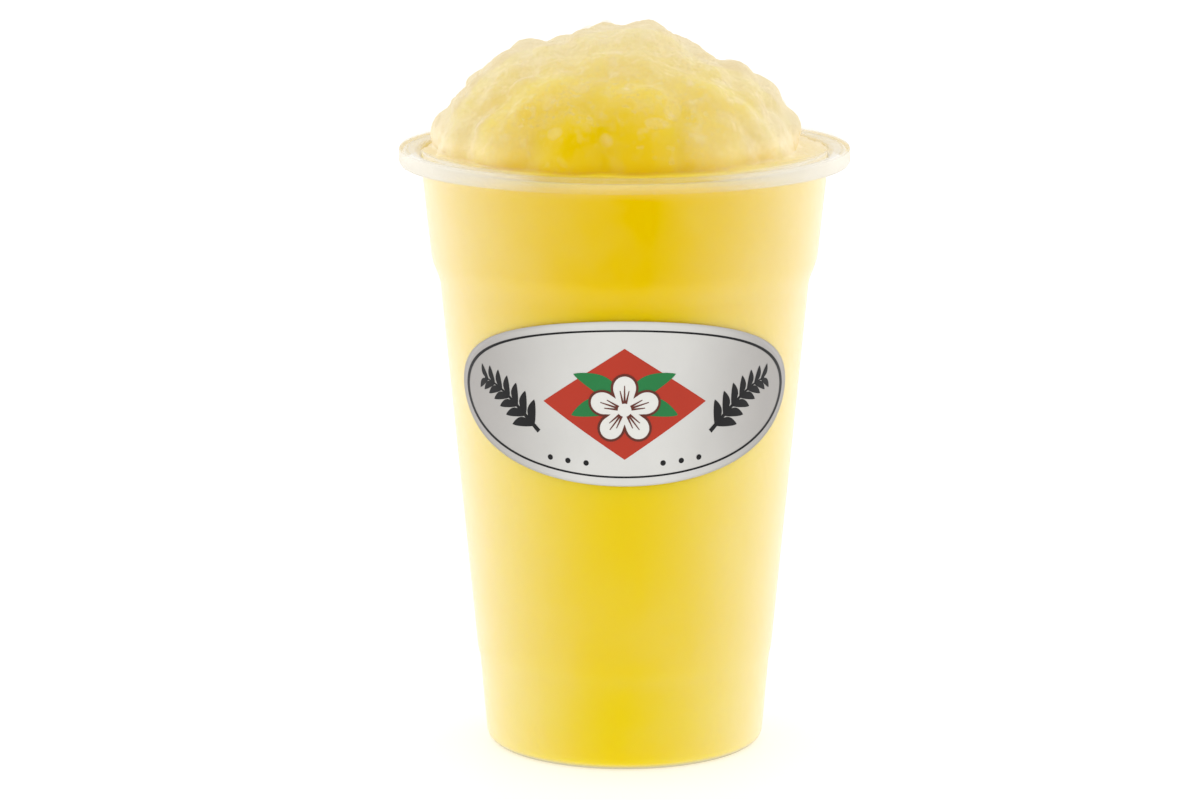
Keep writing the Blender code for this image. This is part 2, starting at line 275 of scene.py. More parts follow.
# Painted shade: the film darkens towards both ends, where the label turns away round the cup.
FILM_ENDS_SHADE_TONE, FILM_ENDS_SHADE_SPAN = (168, 164, 161), (0.006, 0.036)
PRINT_TONE_CELL, FIBRE_CELL = 0.010, 0.0003
PRINT_ROUGHNESS_RANGE = (-0.04, 0.05)
FIBRE_BUMP = 0.000008


def piece(name, verts, faces, mat, nodes, smooth=True):
    """A mesh object that rides on the one body and stands for a CAD node."""
    mesh = bpy.data.meshes.new(name)
    mesh.from_pydata(verts, [], faces)
    mesh.validate()
    if smooth:
        mesh.shade_smooth()
    mesh.materials.append(mat)
    obj = bpy.data.objects.new(name, mesh)
    bpy.context.scene.collection.objects.link(obj)
    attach(obj, "root")
    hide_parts(*nodes)
    return obj


def let_light_through(obj):
    """Keeps a see-through piece from darkening what lies under it."""
    obj.visible_shadow = False
    obj.visible_diffuse = False


def arc(centre, radius, start, end, steps):
    """Points on an arc from one angle to another, in degrees."""
    points = []
    for i in range(steps + 1):
        angle = math.radians(start + (end - start) * i / steps)
        points.append((centre[0] + radius * math.cos(angle), centre[1] + radius * math.sin(angle)))
    return points


def ease(start, end, steps):
    """Points on an S-curve that leaves and arrives along the second axis."""
    points = []
    for i in range(steps + 1):
        t = i / steps
        share = t * t * (3 - 2 * t)
        points.append((start[0] + (end[0] - start[0]) * share, start[1] + (end[1] - start[1]) * t))
    return points


def line(start, end, steps):
    """Points on a straight line, without its ends."""
    points = []
    for i in range(1, steps):
        share = i / steps
        points.append((start[0] + (end[0] - start[0]) * share, start[1] + (end[1] - start[1]) * share))
    return points


def outer_wall():
    """The cup's outer face from the centre underneath up to the neck, as (radius, height)."""
    low, low_top = LOW_STEP_RADII
    shoulder, shoulder_top = SHOULDER_RADII
    step_top = (low_top, LOW_STEP_Z + LOW_STEP_HEIGHT)
    shoulder_end = (shoulder_top, SHOULDER_Z + SHOULDER_HEIGHT)
    neck = (NECK_RADIUS, CUP_HEIGHT - LIP_FLARE - NECK_TOP_DROP)
    return [
        (0.0, FLOOR_RISE),
        (FLOOR_MIDDLE_RADIUS, FLOOR_RISE),
        *ease((FLOOR_RADIUS, FLOOR_RISE), (FOOT_INNER_RADIUS, 0.0), steps=5),
        *arc((BASE_RADIUS - FOOT_CORNER, FOOT_CORNER), FOOT_CORNER, -90, 0, steps=7),
        *line((BASE_RADIUS, FOOT_CORNER), (low, LOW_STEP_Z), steps=6),
        *ease((low, LOW_STEP_Z), step_top, steps=4),
        *line(step_top, (shoulder, SHOULDER_Z), steps=20),
        *ease((shoulder, SHOULDER_Z), shoulder_end, steps=8),
        *line(shoulder_end, neck, steps=5),
        neck,
    ]


def inset(points, distance):
    """A radius-height line moved sideways by distance, to its left as it runs."""
    moved = []
    for i, here in enumerate(points):
        before, after = points[max(i - 1, 0)], points[min(i + 1, len(points) - 1)]
        sides = []
        for a, b in ((before, here), (here, after)):
            along = Vector((b[0] - a[0], b[1] - a[1]))
            if along.length > 0:
                along.normalize()
                sides.append(Vector((-along.y, along.x)))
        normal = sum(sides, Vector((0.0, 0.0))).normalized()
        offset = normal * (distance / max(normal.dot(sides[0]), MITRE_LEAST))
        moved.append((max(here[0] + offset.x, 0.0), here[1] + offset.y))
    return moved


def ring_rows(points, segments):
    """Vertices, and their numbers row by row, of a (radius, height) line turned about Z."""
    verts, rows = [], []
    for r, z in points:
        if r < TINY:
            rows.append([len(verts)] * segments)
            verts.append((0.0, 0.0, z))
            continue
        rows.append(list(range(len(verts), len(verts) + segments)))
        for j in range(segments):
            turn = math.tau * j / segments
            verts.append((r * math.cos(turn), r * math.sin(turn), z))
    return verts, rows


def join_rows(rows):
    """Faces between neighbouring rows, and the place of each face's row."""
    faces, along = [], []
    for i, (a, b) in enumerate(zip(rows, rows[1:])):
        for j in range(len(a)):
            k = (j + 1) % len(a)
            face = list(dict.fromkeys([a[j], a[k], b[k], b[j]]))
            if len(face) > 2:
                faces.append(face)
                along.append(i)
    return faces, along


def lip_profile():
    """The lip, which flares out, rolls over and curls in underneath: its underside, then its upper side."""
    under_centre = (NECK_RADIUS + UNDER_FLARE_RADIUS, CUP_HEIGHT - UNDER_FLARE_DROP)
    under_flare = arc(under_centre, UNDER_FLARE_RADIUS, 180, 115, steps=5)
    roll_centre = (RIM_RADIUS - LIP_ROLL, CUP_HEIGHT - LIP_ROLL)
    flare_centre = (NECK_RADIUS - WALL + LIP_FLARE, CUP_HEIGHT - LIP_FLARE)
    return [
        *under_flare[1:],
        *[(RIM_RADIUS - inward, CUP_HEIGHT - drop) for inward, drop in LIP_UNDERSIDE],
        (RIM_RADIUS, CUP_HEIGHT - SKIRT_TURN_DROP),
        *arc(roll_centre, LIP_ROLL, 0, 90, steps=8),
        *arc(flare_centre, LIP_FLARE, 90, 180, steps=7),
    ]


def make_cup(wall_mat, lip_mat):
    """The cup: a thin wall, and a lip in a clearer material."""
    wall, lip = outer_wall(), lip_profile()
    inner = inset(wall, WALL)[::-1]
    verts, rows = ring_rows([*wall, *lip, *inner[1:]], CUP_SEGMENTS)
    faces, along = join_rows(rows)
    cup = piece("cup_shell", verts, faces, wall_mat, ["cup"])
    cup.data.materials.append(lip_mat)
    lip_rows = range(len(wall) - 1, len(wall) + len(lip) - 1)
    cup.data.polygons.foreach_set("material_index", [int(i in lip_rows) for i in along])
    let_light_through(cup)


def ellipsoid_distance(points, centre, sizes):
    scaled = (points - np.array(centre)) / np.array(sizes)
    return (np.linalg.norm(scaled, axis=1) - 1) * min(sizes)


def ball_distance(points, centre, radius):
    return np.linalg.norm(points - np.array(centre), axis=1) - radius


def smooth_least(first, second, blend):
    """The lesser of two distances, eased where they are within blend of each other."""
    share = np.clip(0.5 + 0.5 * (second - first) / blend, 0, 1)
    return second * (1 - share) + first * share - blend * share * (1 - share)


def large_lumps(rng):
    """The heap's large forms as (centre, radius): the crown, and rings of lumps round it."""
    lumps = [((x, y, z), radius) for x, y, z, radius in LUMPS.values()]
    for count, ring_radius, height, radius in RINGS.values():
        start = rng.uniform(0, math.tau)
        for i in range(count):
            turn = start + math.tau * i / count
            around = ring_radius + rng.uniform(-RING_JITTER, RING_JITTER)
            rise = rng.uniform(-RING_JITTER, RING_JITTER)
            centre = (HEAP_SHIFT + around * math.cos(turn), around * math.sin(turn), height + rise)
            lumps.append((centre, radius))
    return lumps


def heap_distance(points, lumps, clumps):
    distance = ellipsoid_distance(points, (HEAP_SHIFT, 0, CORE_Z), CORE_SIZES)
    for centre, radius in lumps:
        distance = smooth_least(distance, ball_distance(points, centre, radius), LUMP_BLEND)
    for centre, radius in clumps:
        distance = smooth_least(distance, ball_distance(points, centre, radius), CLUMP_BLEND)
    return distance


def reach_along(directions, lumps, clumps):
    """How far from the heap's centre its surface lies in each direction, found step by step from outside."""
    directions = np.array(directions, float)
    start = np.array(HEAP_CENTRE)
    reach = np.full(len(directions), REACH_START)
    for _ in range(REACH_STEPS):
        gap = heap_distance(start + directions * reach[:, None], lumps, clumps)
        reach = np.maximum(reach - gap * REACH_STEP_SHARE, REACH_LEAST)
    return reach


def spread_directions(count, rng):
    """Directions spread evenly over the heap, each a little out of place."""
    found = []
    for i in range(count):
        jitter = rng.uniform(-SPREAD_JITTER, SPREAD_JITTER)
        height = TOP_SHARE - (TOP_SHARE - FOOT_SHARE) * (i + 0.5) / count + jitter
        height = min(max(height, FOOT_SHARE), TOP_SHARE)
        turn = i * GOLDEN_ANGLE + rng.uniform(-SPREAD_JITTER, SPREAD_JITTER)
        across = math.sqrt(1 - height * height)
        found.append(Vector((across * math.cos(turn), across * math.sin(turn), height)))
    return found


def clustered_directions(rng):
    """Directions in small clusters, with the clusters spread evenly."""
    found = []
    for middle in spread_directions(CHIP_CLUSTERS, rng):
        for _ in range(rng.randint(1, 2 * CHIPS_EACH)):
            near = middle + Vector([rng.gauss(0.0, CLUSTER_SPREAD) for _ in range(3)])
            near.normalize()
            if near.z > FOOT_SHARE:
                found.append(near)
    return found


def sunk_places(directions, radii, sink, lumps, clumps, rng):
    """Balls as (centre, radius), each sunk in the heap's surface by that share of its radius."""
    places = []
    for direction, reach in zip(directions, reach_along(directions, lumps, clumps)):
        radius = rng.uniform(*radii)
        places.append((HEAP_CENTRE + direction * (reach - radius * sink), radius))
    return places


def granule(point, cell):
    """Height from 0 to 1 of a field of rounded grains of mixed size."""
    distances, points = noise.voronoi(point / cell)
    size = GRANULE_LEAST + (1 - GRANULE_LEAST) * noise.cell(points[0] * GRANULE_KEY)
    return max(0.0, 1 - (distances[0] / GRANULE_REACH) ** 2) * size


def dome_directions():
    """Directions from the heap's centre: straight up, then rings down to the brim, closer round the foot."""
    brim_angle = math.atan2(BRIM_RADIUS, FILL_Z - HEAP_CENTRE.z)
    heap_rows = HEAP_ROWS - FOOT_ROWS
    angles = [FOOT_ANGLE * i / heap_rows for i in range(1, heap_rows + 1)]
    angles += [FOOT_ANGLE + (brim_angle - FOOT_ANGLE) * i / FOOT_ROWS for i in range(1, FOOT_ROWS + 1)]
    found = [(0.0, 0.0, 1.0)]
    for angle in angles:
        across, up = math.sin(angle), math.cos(angle)
        for j in range(HEAP_TURNS):
            turn = math.tau * j / HEAP_TURNS
            found.append((across * math.cos(turn), across * math.sin(turn), up))
    return np.array(found)


def level_along(directions):
    """How far from the heap's centre the slush's level lies: flat, and rounded down to the brim."""
    radii = np.linspace(0, BRIM_RADIUS, LEVEL_SAMPLES)
    inward = np.clip((BRIM_RADIUS - radii) / RISE_WIDTH, 0, 1)
    heights = FILL_Z + FILL_RISE * (1 - (1 - inward) ** 2) - HEAP_CENTRE.z
    return np.interp(np.arccos(directions[:, 2]), np.arctan2(radii, heights), np.hypot(radii, heights))


def dome_points(directions, reach, lift, relief):
    """Points that follow the heap and, round its foot, the grainy level raised by lift, out to the brim."""
    verts = []
    for direction, out, level in zip(directions, reach, level_along(directions)):
        direction = Vector(direction)
        flat = HEAP_CENTRE + direction * level
        wave = noise.noise(flat / WAVE_CELL) * FILL_WAVE + granule(flat, COARSE_CELL) * relief
        level += (wave + lift) / direction.z
        share = min(max(0.5 + 0.5 * (out - level) / FOOT_BLEND, 0), 1)
        out = level * (1 - share) + out * share + FOOT_BLEND * share * (1 - share)
        edge = BRIM_RADIUS / max(math.hypot(direction.x, direction.y), TINY)
        verts.append(HEAP_CENTRE + direction * min(out, edge))
    for vertex in verts[-HEAP_TURNS:]:
        turn = math.atan2(vertex.y, vertex.x)
        vertex.xyz = (BRIM_RADIUS * math.cos(turn), BRIM_RADIUS * math.sin(turn), FILL_Z + lift)
    return [tuple(v) for v in verts]


def dome_rows(first):
    """Vertex numbers of a dome from the brim up, if its top is the vertex with number first."""
    rows = [[first + 1 + i * HEAP_TURNS + j for j in range(HEAP_TURNS)] for i in range(HEAP_ROWS)]
    return [*rows[::-1], [first] * HEAP_TURNS]


def make_body(directions, lumps, heap_mat, wall_mat):
    """The golden body: against the cup from the floor up, and smooth under the skin over the heap."""
    wall = [p for p in inset(outer_wall(), WALL - INTO_WALL) if p[1] < FILL_Z - FILL_RISE]
    verts, rows = ring_rows(wall, HEAP_TURNS)
    rows += dome_rows(len(verts))
    verts += dome_points(directions, reach_along(directions, lumps, []) - BODY_DEPTH, 0.0, 0.0)
    faces, along = join_rows(rows)
    body = piece("slush_body", verts, faces, heap_mat, ["slush"])
    body.data.materials.append(wall_mat)
    body.data.polygons.foreach_set("material_index", [int(i < len(wall)) for i in along])


def make_skin(directions, lumps, clumps, mat):
    """The granular skin over the heap, which ends in a short skirt inside the cup's wall."""
    reach = reach_along(directions, lumps, clumps)
    for i, direction in enumerate(directions):
        here = HEAP_CENTRE + Vector(direction) * reach[i]
        reach[i] += COARSE_RELIEF * granule(here, COARSE_CELL) + FINE_RELIEF * granule(here, FINE_CELL)
    verts = dome_points(directions, reach, SKIN_LIFT, COARSE_RELIEF)
    skirt, skirt_rows = ring_rows([(BRIM_RADIUS + INTO_WALL / 2, FILL_Z - FILL_RISE)], HEAP_TURNS)
    rows = [[len(verts) + i for i in skirt_rows[0]], *dome_rows(0)]
    faces, _ = join_rows(rows)
    let_light_through(piece("icy_skin", verts + skirt, faces, mat, ["slush"]))


def make_slush(heap_mat, wall_mat, skin_mat, lump_mat, chip_mat):
    """The slush: a golden body, over its heap a granular icy skin, and ice in that skin."""
    rng = random.Random(SEED)
    lumps = large_lumps(rng)
    clumps = sunk_places(spread_directions(CLUMP_COUNT, rng), CLUMP_RADII, CLUMP_SINK, lumps, [], rng)
    directions = dome_directions()
    make_body(directions, lumps, heap_mat, wall_mat)
    make_skin(directions, lumps, clumps, skin_mat)
    make_ice(lump_mat, chip_mat, lumps, clumps)


def uneven_balls(name, places, detail, unevenness, mat, smooth, rng):
    """Small uneven balls at (centre, radius) places, joined in one piece."""
    shape = bmesh.new()
    for centre, radius in places:
        radius *= rng.uniform(*BALL_SHRINK)
        sizes = [radius * rng.uniform(*BALL_STRETCH) for _ in range(3)]
        turn = Euler([rng.uniform(0, math.tau) for _ in range(3)]).to_matrix().to_4x4()
        matrix = Matrix.Translation(centre) @ turn @ Matrix.Diagonal((*sizes, 1.0))
        made = bmesh.ops.create_icosphere(shape, subdivisions=detail, radius=1.0, matrix=matrix)
        for vertex in made["verts"]:
            vertex.co += Vector([rng.uniform(-unevenness, unevenness) * radius for _ in range(3)])
    verts = [tuple(v.co) for v in shape.verts]
    faces = [[v.index for v in f.verts] for f in shape.faces]
    shape.free()
    let_light_through(piece(name, verts, faces, mat, ["slush"], smooth))


def make_ice(lump_mat, chip_mat, lumps, clumps):
    """Ice in the heap's skin: soft lumps sunk in it, and small chips in clusters on it."""
    rng = random.Random(SEED + 1)
    directions = spread_directions(ICE_LUMPS, rng)
    places = sunk_places(directions, ICE_LUMP_RADII, ICE_LUMP_SINK, lumps, clumps, rng)
    uneven_balls("ice_lumps", places, detail=3, unevenness=0.02, mat=lump_mat, smooth=True, rng=rng)
    places = sunk_places(clustered_directions(rng), CHIP_RADII, CHIP_SINK, lumps, clumps, rng)
    uneven_balls("ice_grains", places, detail=1, unevenness=0.22, mat=chip_mat, smooth=False, rng=rng)


def wall_radius(z):
    """The radius of the cup's long tapered wall at a height."""
    low, high = LOW_STEP_Z + LOW_STEP_HEIGHT, SHOULDER_Z
    return LOW_STEP_RADII[1] + (SHOULDER_RADII[0] - LOW_STEP_RADII[1]) * (z - low) / (high - low)


def on_wall(x, y, off):
    """A point of the label's flat plan, x along the wall and y up from its middle, laid on the wall."""
    z = LABEL_Z + y
    radius = wall_radius(z) + off
    turn = x / wall_radius(LABEL_Z)
    return radius * math.sin(turn), -radius * math.cos(turn), z


def patch(plan, grid, off):
    """A grid of a plan function of (u, v), both from 0 to 1, laid on the wall."""
    across, along = grid
    verts = [on_wall(*plan(i / across, j / along), off) for i in range(across + 1) for j in range(along + 1)]
    faces = []
    for i in range(across):
        for j in range(along):
            a = i * (along + 1) + j
            faces.append([a, a + along + 1, a + along + 2, a + 1])
    return verts, faces


def printed(name, patches, mat, thickness=0.0):
    """One printed colour of the label: its patches joined, with their faces turned out."""
    verts, faces = [], []
    for some_verts, some_faces in patches:
        base = len(verts)
        verts += some_verts
        faces += [[base + i for i in f] for f in some_faces]
    obj = piece(name, verts, faces, mat, ["label"])
    shape = bmesh.new()
    shape.from_mesh(obj.data)
    bmesh.ops.remove_doubles(shape, verts=shape.verts, dist=WELD_DISTANCE)
    bmesh.ops.dissolve_degenerate(shape, edges=shape.edges, dist=TINY)
    for face in shape.faces:
        out = face.calc_center_median()
        face.normal_update()
        if face.normal.x * out.x + face.normal.y * out.y < 0:
            face.normal_flip()
    shape.to_mesh(obj.data)
    shape.free()
    if thickness:
        sheet = obj.modifiers.new("Sheet", "SOLIDIFY")
        sheet.thickness = thickness
        sheet.offset = -1


def oval(half_width, half_height, inner=0.0):
    """A plan of an oval, or of a ring whose inner edge is at that share of it."""
    def plan(u, v):
        angle = math.tau * u
        share = inner + (1 - inner) * v
        return half_width * share * math.cos(angle), half_height * share * math.sin(angle)
    return plan


def diamond(u, v):
    """A plan of the diamond in the label's middle."""
    across = 2 * u - 1
    return DIAMOND_HALF_WIDTH * across, DIAMOND_HALF_HEIGHT * (1 - abs(across)) * (2 * v - 1)


def leaf(x, y, length, width, angle, bow):
    """A plan of a pointed leaf from its foot at (x, y), bowed aside by that share of its length."""
    cos, sin = math.cos(angle), math.sin(angle)

    def plan(u, v):
        along = length * u
        side = width * math.sin(math.pi * u) ** LEAF_FULLNESS * (v - 0.5)
        side += bow * length * math.sin(math.pi * u)
        return x + along * cos - side * sin, y + along * sin + side * cos
    return plan


def stroke(path, width, taper=0.0):
    """A plan of a line along a path function of u, which narrows by that share towards its end."""
    def plan(u, v):
        ax, ay = path(max(u - STROKE_STEP, 0.0))
        bx, by = path(min(u + STROKE_STEP, 1.0))
        length = math.hypot(bx - ax, by - ay) or 1.0
        x, y = path(u)
        side = width * (1 - taper * u) * (v - 0.5)
        return x - (by - ay) / length * side, y + (bx - ax) / length * side
    return plan


def dot(x, y):
    """A plan of a round dot."""
    def plan(u, v):
        return x + DOT_RADIUS * v * math.cos(math.tau * u), y + DOT_RADIUS * v * math.sin(math.tau * u)
    return plan


def flower_outline(u):
    """The outline of a flower of rounded petals, one of them upright, as a path of u."""
    angle = math.tau * (u + 0.25)
    lobe = abs(math.cos(FLOWER_PETALS / 2 * (angle - math.pi / 2))) ** PETAL_FULLNESS
    radius = FLOWER_RADIUS * (FLOWER_NOTCH + (1 - FLOWER_NOTCH) * lobe)
    return FLOWER_MIDDLE[0] + radius * math.cos(angle), FLOWER_MIDDLE[1] + radius * math.sin(angle)


def petals(u, v):
    """A plan of the flower, from its middle out."""
    x, y = flower_outline(u)
    return FLOWER_MIDDLE[0] + (x - FLOWER_MIDDLE[0]) * v, FLOWER_MIDDLE[1] + (y - FLOWER_MIDDLE[1]) * v


def spoke(turn, start, end):
    """A straight path out from the flower's middle."""
    def path(u):
        out = start + (end - start) * u
        return FLOWER_MIDDLE[0] + out * math.cos(turn), FLOWER_MIDDLE[1] + out * math.sin(turn)
    return path


def flower_lines(off):
    """The flower's edge, and short lines on each petal."""
    lines = [patch(stroke(flower_outline, PETAL_EDGE_WIDTH), PETAL_EDGE_GRID, off)]
    for i in range(FLOWER_PETALS):
        turn = math.pi / 2 + math.tau * i / FLOWER_PETALS
        for aside, end in PETAL_LINES.items():
            path = spoke(turn + aside, PETAL_LINE_START, end)
            lines.append(patch(stroke(path, PETAL_LINE_WIDTH, PETAL_LINE_TAPER), PETAL_LINE_GRID, off))
    return lines


def flower_leaves(off):
    """Leaves that come out from behind the flower on both sides."""
    leaves = []
    for side in (-1, 1):
        for angle, length in FLOWER_LEAVES.items():
            turn = angle if side > 0 else math.pi - angle
            plan = leaf(*FLOWER_MIDDLE, length, FLOWER_LEAF_WIDTH, turn, FLOWER_LEAF_BOW * side)
            leaves.append(patch(plan, FLOWER_LEAF_GRID, off))
    return leaves


def branch(side):
    """The path of a leafy twig that bows beside the middle motif; side is -1 or 1."""
    def path(u):
        rise = BRANCH_RISE * math.sin(BRANCH_BEND * u)
        return side * (BRANCH_START + BRANCH_LENGTH * u), BRANCH_FOOT + rise
    return path


def leafy_twigs(off):
    """A twig on each side, with pairs of leaves that shorten towards its end."""
    twigs = []
    for side in (-1, 1):
        path = branch(side)
        twigs.append(patch(stroke(path, BRANCH_WIDTH, BRANCH_TAPER), TWIG_GRID, off))
        for i in range(BRANCH_LEAVES):
            u = FIRST_LEAF + LEAF_SPACING * i
            x, y = path(u)
            ahead = path(u + LEAF_AHEAD)
            angle = math.atan2(ahead[1] - y, ahead[0] - x)
            length = LEAF_LENGTH * (1 - LEAF_SHORTER * i)
            width = length * LEAF_WIDTH_SHARE
            for way in (-1, 1):
                plan = leaf(x, y, length, width, angle + way * LEAF_TURN, -LEAF_BOW * way)
                twigs.append(patch(plan, LEAF_GRID, off))
    return twigs


def dot_rows(off):
    """Three dots on each side, along the label's lower edge."""
    dots = []
    for side in (-1, 1):
        for x in DOT_COLUMNS:
            y = -DOT_DROP * math.sqrt(1 - (x / LABEL_HALF_WIDTH) ** 2)
            dots.append(patch(dot(side * x, y), DOT_GRID, off))
    return dots


def make_label(mats):
    """The label: an oval sheet, and its print in layers of one ink each."""
    top = LABEL_GAP + LABEL_THICKNESS
    sheet = oval(LABEL_HALF_WIDTH * SHEET_WIDTH_SHARE, LABEL_HALF_HEIGHT)
    printed("label_sheet", [patch(sheet, SHEET_GRID, top)], mats["ground"], LABEL_THICKNESS)
    level = top + LAYER
    edge = oval(LABEL_HALF_WIDTH * LINE_SHARES[0], LABEL_HALF_HEIGHT * LINE_SHARES[1], LINE_INNER_SHARE)
    printed("label_line", [patch(edge, LINE_GRID, level)], mats["black"])
    printed("label_field", [patch(diamond, DIAMOND_GRID, level)], mats["red"])
    printed("label_flower", [patch(petals, FLOWER_GRID, level + 2 * LAYER)], mats["ground_print"])
    printed("label_lines", flower_lines(level + 3 * LAYER), mats["brown"])
    printed("label_leaves", flower_leaves(level + LAYER), mats["green"])
    printed("label_branches", leafy_twigs(level), mats["black"])
    printed("label_dots", dot_rows(level), mats["black"])


def linear(red, green, blue):
    """An sRGB tone as a colour of linear values."""
    shares = []
    for value in (red, green, blue):
        share = value / 255
        shares.append(share / 12.92 if share <= 0.04045 else ((share + 0.055) / 1.055) ** 2.4)
    return (*shares, 1.0)


def new_material(name):
    mat = bpy.data.materials.new(name)
    mat.use_nodes = True
    tree = mat.node_tree
    return mat, tree, tree.nodes["Principled BSDF"]


def set_sockets(shader, values):
    """Constants on the shader's own sockets."""
    for socket, value in values.items():
        shader.inputs[socket].default_value = value


def place_node(tree):
    """The place on the object in metres: its object coordinates."""
    return tree.nodes.new("ShaderNodeTexCoord").outputs["Object"]


def axes(tree, place):
    """X, Y and Z of a place, apart."""
    split = tree.nodes.new("ShaderNodeSeparateXYZ")
    tree.links.new(place, split.inputs[0])
    return split.outputs["X"], split.outputs["Y"], split.outputs["Z"]


def fill(tree, socket, value):
    """Sets a socket to a number or a colour, or links it to an output."""
    if isinstance(value, (int, float, tuple)):
        socket.default_value = value
    else:
        tree.links.new(value, socket)


def math_node(tree, operation, *values, clamp=False):
    made = tree.nodes.new("ShaderNodeMath")
    made.operation = operation
    made.use_clamp = clamp
    for socket, value in zip(made.inputs, values):
        fill(tree, socket, value)
    return made.outputs[0]


def vector_node(tree, operation, *values):
    made = tree.nodes.new("ShaderNodeVectorMath")
    made.operation = operation
    for socket, value in zip(made.inputs, values):
        fill(tree, socket, value)
    return made.outputs["Vector"]


def noise_node(tree, place, cell, detail=2.0, roughness=0.5):
    made = tree.nodes.new("ShaderNodeTexNoise")
    set_sockets(made, {"Scale": 1 / cell, "Detail": detail, "Roughness": roughness})
    tree.links.new(place, made.inputs["Vector"])
    return made.outputs["Fac"]


def ramp(tree, value, span, shares=(0.0, 1.0), smooth=True):
    """A value as a share, which goes from one end of shares to the other as the value crosses the span."""
    made = tree.nodes.new("ShaderNodeMapRange")
    if smooth:
        made.interpolation_type = "SMOOTHSTEP"
    for socket, number in zip(("From Min", "From Max", "To Min", "To Max"), (*span, *shares)):
        made.inputs[socket].default_value = number
    tree.links.new(value, made.inputs["Value"])
    return made.outputs["Result"]


def colour_mix(tree, share, first, second):
    made = tree.nodes.new("ShaderNodeMix")
    made.data_type = "RGBA"
    for index, value in ((0, share), (6, first), (7, second)):
        fill(tree, made.inputs[index], value)
    return made.outputs[2]


def bump(tree, height, distance, strength):
    made = tree.nodes.new("ShaderNodeBump")
    set_sockets(made, {"Strength": strength, "Distance": distance})
    tree.links.new(height, made.inputs["Height"])
    return made.outputs["Normal"]


def broad_normal(tree, place, centre, weights, own_share):
    """The surface's own normal eased towards that of its broad form, an ellipsoid or a round wall.

    weights are how far X, Y and Z from its centre count in the broad form's normal.
    """
    from_centre = vector_node(tree, "SUBTRACT", place, centre)
    broad = vector_node(tree, "NORMALIZE", vector_node(tree, "MULTIPLY", from_centre, weights))
    own = tree.nodes.new("ShaderNodeTexCoord").outputs["Normal"]
    own = vector_node(tree, "MULTIPLY", own, (own_share,) * 3)
    broad = vector_node(tree, "MULTIPLY", broad, (1 - own_share,) * 3)
    return vector_node(tree, "NORMALIZE", vector_node(tree, "ADD", own, broad))


def frosted(tree, place, share, depth):
    """A share of light stopped, broken up to that depth by a grain finer than a pixel, as frosting does."""
    grain = noise_node(tree, place, FROST_CELL, detail=0.0)
    uneven = math_node(tree, "MULTIPLY_ADD", grain, 2 * depth, 1 - depth)
    return math_node(tree, "MULTIPLY", share, uneven, clamp=True)


def edge_on(tree, facings, shares, normal=None):
    """A share that grows from face on to edge on, between two values of how far the surface turns away."""
    facing = tree.nodes.new("ShaderNodeLayerWeight")
    facing.inputs["Blend"].default_value = 0.5
    if normal is not None:
        tree.links.new(normal, facing.inputs["Normal"])
    return ramp(tree, facing.outputs["Facing"], facings, shares, smooth=False)


def slush_material(name, heap):
    """Crushed ice in mango puree, golden with soft paler blotches.

    The heap is paler towards its crown, brighter round its foot as painted light and deeper on its brim as
    painted shade, the rest paler just under the fill line.
    """
    mat, tree, shader = new_material(name)
    place = place_node(tree)
    x, y, height = axes(tree, place)
    golden = colour_mix(tree, ramp(tree, height, LOW_GOLD_SPAN), linear(*GOLD), linear(*LOW_GOLD))
    golden = colour_mix(tree, ramp(tree, height, FOOT_GOLD_SPAN), golden, linear(*FOOT_GOLD))
    blotches = noise_node(tree, place, BLOTCH_CELL, detail=3.0)
    if heap:
        blotches = ramp(tree, blotches, BLOTCH_SPAN, (0.0, HEAP_BLOTCHES))
        paler = ramp(tree, height, CROWN_SPAN, (0.0, CROWN_CREAM))
        # Painted shade: a deeper gold on the brim, darkening the rounding that faces up into the light.
        square = math_node(tree, "MULTIPLY_ADD", y, y, math_node(tree, "MULTIPLY", x, x))
        brim = ramp(tree, math_node(tree, "SQRT", square), BRIM_SHADE_SPAN)
        # Painted light: a brighter gold round the heap's foot, lifting the shade of the crease there.
        golden = colour_mix(tree, ramp(tree, height, HEAP_FOOT_LIT_SPAN), golden, linear(*HEAP_FOOT_LIT_GOLD))
        golden = colour_mix(tree, brim, golden, linear(*BRIM_SHADE_GOLD))
    else:
        blotches = ramp(tree, blotches, BLOTCH_SPAN, (0.0, WALL_BLOTCHES))
        paler = ramp(tree, height, WALL_TOP_SPAN, (0.0, WALL_TOP_CREAM))
    share = math_node(tree, "ADD", blotches, paler)
    fill(tree, shader.inputs["Base Color"], colour_mix(tree, share, golden, linear(*SLUSH_CREAM)))
    grain = noise_node(tree, place, SLUSH_GRAIN_CELL)
    fill(tree, shader.inputs["Roughness"], ramp(tree, grain, NOISE_SPAN, SLUSH_ROUGHNESS))
    set_sockets(shader, {**SLUSH_SCATTER, "IOR": SLUSH_IOR, "Specular IOR Level": 0.0})
    return mat


